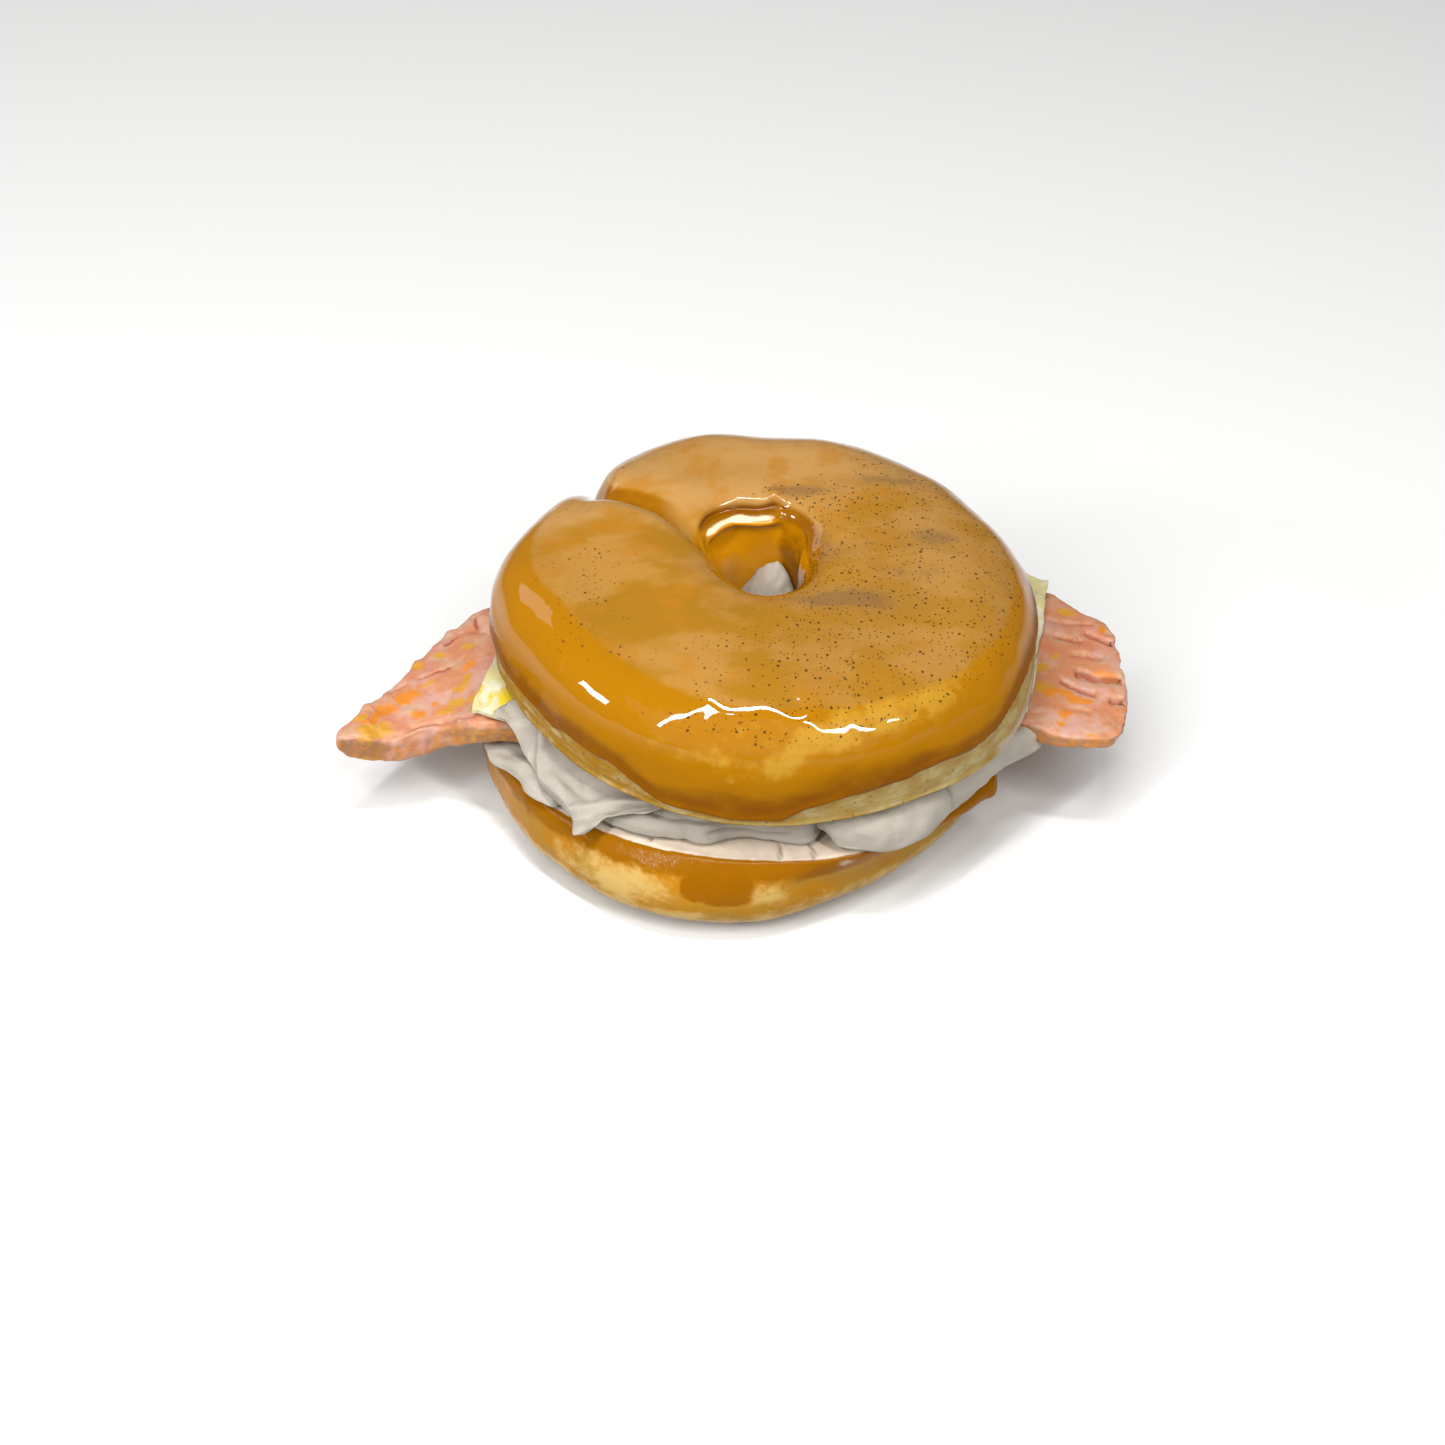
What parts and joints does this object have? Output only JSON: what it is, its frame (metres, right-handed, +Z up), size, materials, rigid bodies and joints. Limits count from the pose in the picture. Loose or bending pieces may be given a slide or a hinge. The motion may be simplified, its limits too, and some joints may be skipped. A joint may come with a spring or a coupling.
{
  "type": "ceramic bagel sandwich with salmon",
  "caption": "Glazed ceramic copy of a split bagel filled with cream cheese, a thin yellow slice and smoked salmon that sticks out at both sides.",
  "frame": {"origin": "centre of the bounding box's footprint, on the surface the lower half rests on", "axes": "+Z up; +X to the right, towards the torn end of the fish; +Y to the back, where the seam of the upper half runs to the rim"},
  "size_m": [0.173, 0.1162, 0.0604],
  "materials": {
    "amber_glaze": "thick glossy amber glaze on fired clay",
    "baked_glaze": "mottled glossy amber glaze on fired clay, bare pinkish-white clay on the cut face",
    "white_clay": "matt off-white fired clay",
    "pink_clay": "satin pink-orange stain on fired clay",
    "yellow_clay": "satin pale yellow stain on fired clay"
  },
  "bodies": {
    "root": {"bagel_bottom": "baked_glaze", "cream_lower": "white_clay", "cream_lobe": "white_clay", "salmon": "pink_clay", "cheese_slice": "yellow_clay", "cream_upper": "white_clay", "bagel_top": "amber_glaze"}
  },
  "joints": []
}
